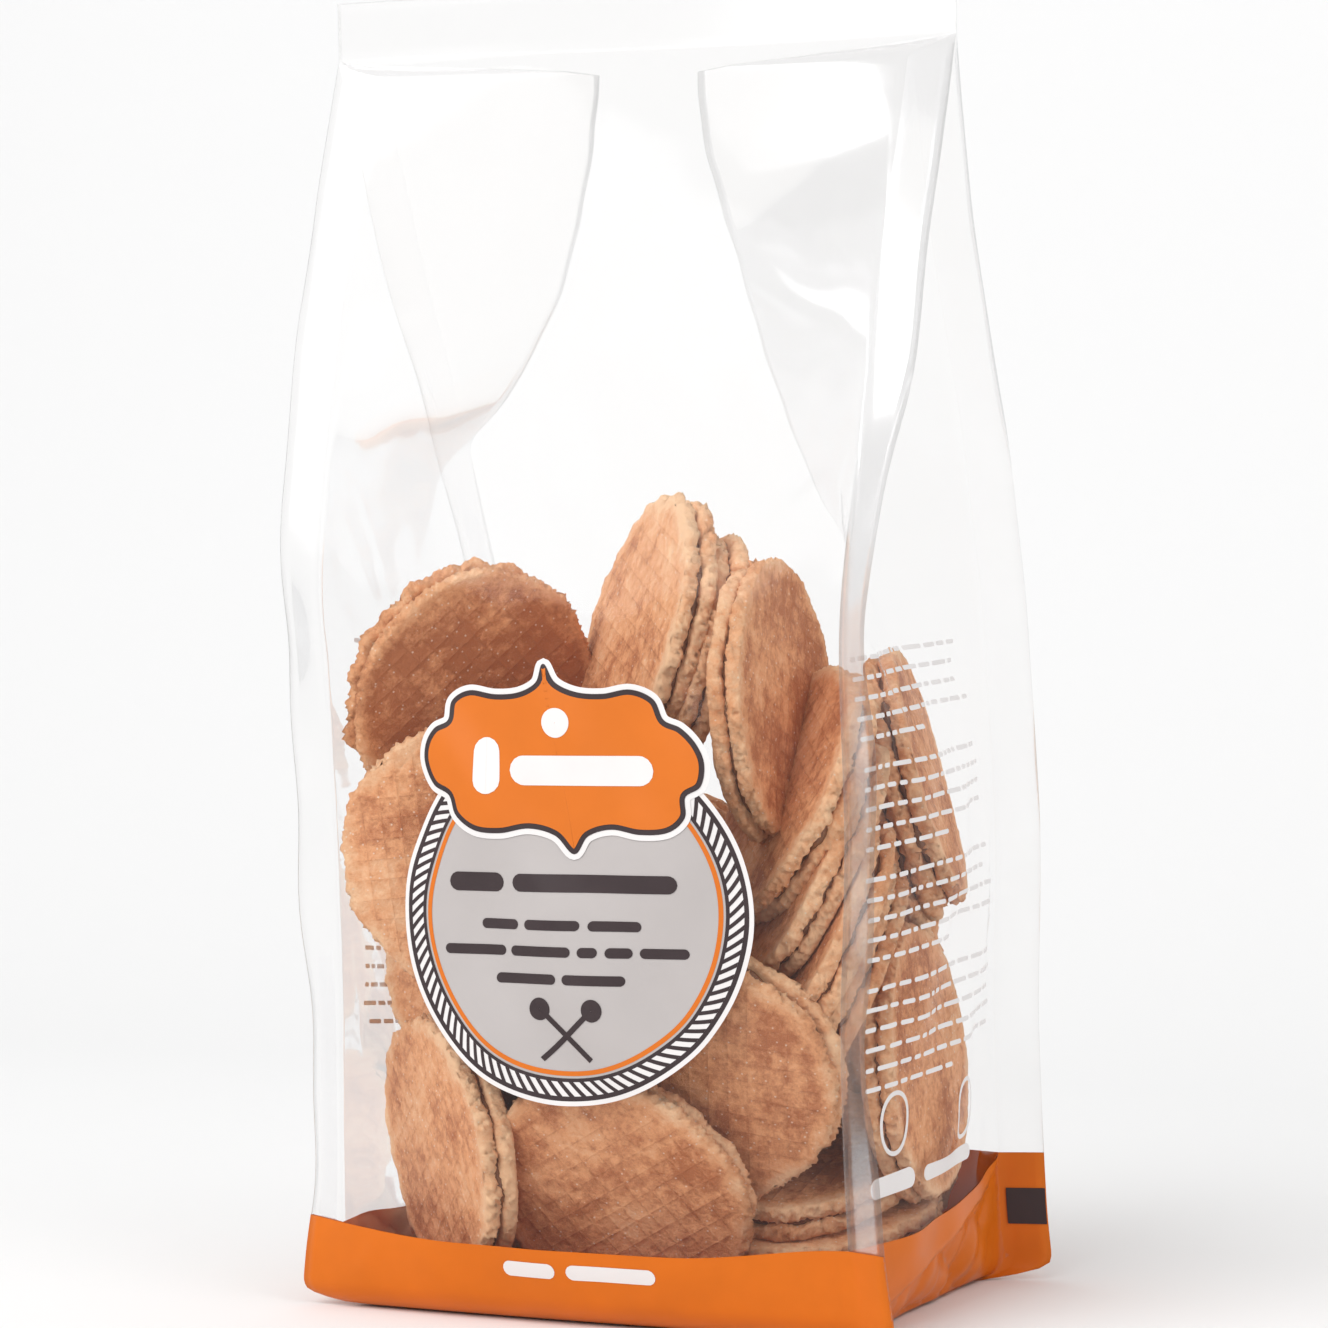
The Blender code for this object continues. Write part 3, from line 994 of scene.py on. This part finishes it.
def make_half(half, chance, centre, turn, sign, n, bend, outline, brown_and_shade):
    """One waffle half: a face with square pits, a crumbly edge, and the lip that goes into the gap."""
    roll, offset = float(chance.uniform(0, TAU)), chance.uniform(-50, 50, 3) * np.array([1, 1, 0])
    gx, gy = concentric(n)
    edge = border(n)
    reach, theta = np.sqrt(gx * gx + gy * gy), np.arctan2(gy, gx)
    start = np.unwrap(theta.ravel()[edge])
    middle = (start + np.append(start[1:], start[0] + TAU)) / 2
    angle = np.stack([start, middle], axis=1).ravel()
    round_out = outline(angle, sign) + wobble(chance, angle, (9, 14, 23), 0.18)
    face_r = RADIUS - 1.3
    radius = reach * (face_r + outline(theta, sign) * reach**3)
    x, y = radius * np.cos(theta), radius * np.sin(theta)
    pits = np.minimum(np.abs(np.sin(x * math.pi / PIT_PITCH)), np.abs(np.sin(y * math.pi / PIT_PITCH)))
    pits = pits * (reach < 0.93)
    level = THICK / 2 - 0.22 * reach**8 - 0.10 * pits + chance.normal(0, 0.07, x.shape)
    local = np.stack([x, y, sign * level + bend(x, y)], axis=-1)
    index = half.skin.grid(centre + local @ turn.T, flip=sign < 0)
    half.note(local, ease(0.88, 1.0, reach), brown_and_shade, roll, offset)

    gap = np.clip(0.32 + wobble(chance, angle, (2, 5, 11, 19, 43), 0.30), 0.05, 1.2)
    crumb_rows = [wobble(chance, angle, (31, 47, 62, 83, 105, 128), 0.26) for _ in range(5)]
    rows = []
    for r, (height, out) in enumerate(EDGE + ((0.0, 0.1), (0.0, -1.0), (0.0, -2.6))):
        level = gap + chance.normal(0, 0.06, len(angle)) if r >= len(EDGE) else np.maximum(height, gap + 0.1)
        level = level + (0 if r == 0 else chance.normal(0, 0.09, len(angle)))
        crumbs = chance.normal(0, 0.20, len(angle)) + 0.5 * (crumb_rows[r // 2] + crumb_rows[(r + 1) // 2 % 5])
        rad = face_r + round_out + out + crumbs * (0.5 if r == 0 else 1.0)
        x, y = rad * np.cos(angle), rad * np.sin(angle)
        rows.append(np.stack([x, y, sign * level + bend(x, y)], axis=-1))
    rows = np.stack(rows)
    index_r = half.skin.grid(centre + rows @ turn.T, closed=True, flip=sign > 0)
    half.note(rows, 1.0, brown_and_shade, roll, offset)
    inner, outer = index.ravel()[edge], index_r[0]
    for i in range(len(edge)):
        j = (i + 1) % len(edge)
        k = (2 * i + 2) % len(outer)
        loop = (inner[i], outer[2 * i], outer[2 * i + 1], outer[k], inner[j])
        half.skin.face(loop if sign > 0 else loop[::-1])


def make_wafers():
    centres, turns = settle()
    halves = {1: Biscuits(), -1: Biscuits()}
    syrup = Skin()
    chance = np.random.default_rng(5)
    for k, row in enumerate(SEEN + HIDDEN):
        phase = chance.uniform(0, TAU, 6)
        bow = float(chance.uniform(-0.5, 0.5))
        grow = float(chance.uniform(-0.7, 0.35))
        slip = chance.normal(0, 0.30, 2)
        n = FINE if k < len(SEEN) else COARSE

        def bend(x, y):
            r2 = (x * x + y * y) / (RADIUS * RADIUS)
            return bow * (r2 - 0.5) + 0.22 * np.sin(0.16 * x + phase[0]) * np.sin(0.14 * y + phase[1])

        def outline(angle, side):
            three = 0.35 * np.sin(2 * angle + phase[2]) + 0.30 * np.sin(3 * angle + phase[3])
            moved = side * (slip[0] * np.cos(angle) + slip[1] * np.sin(angle))
            return grow + three + 0.20 * np.sin(7 * angle + phase[4]) + moved

        for sign in (1, -1):
            make_half(halves[sign], chance, centres[k], turns[k], sign, n, bend, outline, row[6])
        angle = np.linspace(0, TAU, 4 * n, endpoint=False)
        fill_r = RADIUS - 1.9 + outline(angle, 0) + wobble(chance, angle, (6, 11, 17), 0.45)
        rows = []
        for level, inset in ((1.0, 2.0), (0.7, 0.4), (0.0, 0.0), (-0.7, 0.4), (-1.0, 2.0)):
            x, y = (fill_r - inset) * np.cos(angle), (fill_r - inset) * np.sin(angle)
            rows.append(np.stack([x, y, level + bend(x, y)], axis=-1))
        syrup.grid(centres[k] + np.stack(rows) @ turns[k].T, closed=True, flip=True)
    return halves[1].make("wafer_fronts"), halves[-1].make("wafer_backs"), syrup.make("caramel", [CARAMEL])


film = make_film()
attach(film, "root")
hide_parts("bag")

band = make_band()
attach(band, "root")

for piece, slot in zip(make_label(), ("label", "label", "dark_ink", "print", "label")):
    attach(piece, "root")

small_print = make_small_print()
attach(small_print, "root")

mark = make_mark()
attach(mark, "root")

for piece, slot in zip(make_wafers(), ("wafer", "wafer", "filling")):
    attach(piece, "root")


# ---------------------------------------------------------------- stage, light and camera
def make_stage():
    skin = Skin()
    run = [(-2.6, 0.0), (0.35, 0.0)]
    for i in range(1, 13):
        angle = (math.pi / 2) * i / 12
        run.append((0.35 + 0.5 * math.sin(angle), 0.5 - 0.5 * math.cos(angle)))
    run.append((0.85, 2.0))
    block = np.array([[(x, y, z) for y, z in run] for x in (-3.0, 3.0)]) / MM
    skin.grid(block, flip=True)
    material, nodes, links, shader = new_material("backdrop")
    noise = nodes.new("ShaderNodeTexNoise")
    noise.inputs["Scale"].default_value = 3
    ramp = nodes.new("ShaderNodeValToRGB")
    ramp.color_ramp.elements[0].color = (0.855, 0.855, 0.855, 1)
    ramp.color_ramp.elements[1].color = (0.865, 0.865, 0.865, 1)
    links.new(noise.outputs["Fac"], ramp.inputs["Fac"])
    links.new(ramp.outputs["Color"], shader.inputs["Base Color"])
    shader.inputs["Roughness"].default_value = 0.9
    shader.inputs["Specular IOR Level"].default_value = 0.0
    return skin.make("backdrop", [material])


make_stage()


def soft_light(name, place_at, aim, size, power):
    lamp = bpy.data.lights.new(name, "AREA")
    lamp.shape = "RECTANGLE"
    lamp.size, lamp.size_y = size
    lamp.energy = power
    holder = bpy.data.objects.new(name, lamp)
    holder.location = place_at
    holder.rotation_euler = (Vector(aim) - Vector(place_at)).to_track_quat("-Z", "Y").to_euler()
    bpy.context.scene.collection.objects.link(holder)


soft_light("key_light", (-0.55, -1.15, 1.15), (0, 0, 0.10), (1.3, 1.3), 19)
soft_light("fill_light", (1.1, -0.5, 0.7), (0, 0, 0.10), (0.7, 0.9), 3)

world = bpy.data.worlds.new("studio")
world.use_nodes = True
world.node_tree.nodes["Background"].inputs["Color"].default_value = (1, 1, 1, 1)
world.node_tree.nodes["Background"].inputs["Strength"].default_value = 0.66
bpy.context.scene.world = world

camera_data = bpy.data.cameras.new("camera")
camera_data.lens = 89.5
camera_data.sensor_width = 36
camera = bpy.data.objects.new("camera", camera_data)
eye = Vector((0.22275, -0.55039, 0.1025))
azimuth, pitch = math.radians(22), math.radians(0.97)
look = Vector((-math.sin(azimuth) * math.cos(pitch), math.cos(azimuth) * math.cos(pitch), math.sin(pitch)))
camera.location = eye
camera.rotation_euler = look.to_track_quat("-Z", "Y").to_euler()
bpy.context.scene.collection.objects.link(camera)
bpy.context.scene.camera = camera

bpy.context.scene.view_settings.view_transform = "Standard"
bpy.context.scene.cycles.transparent_max_bounces = 32
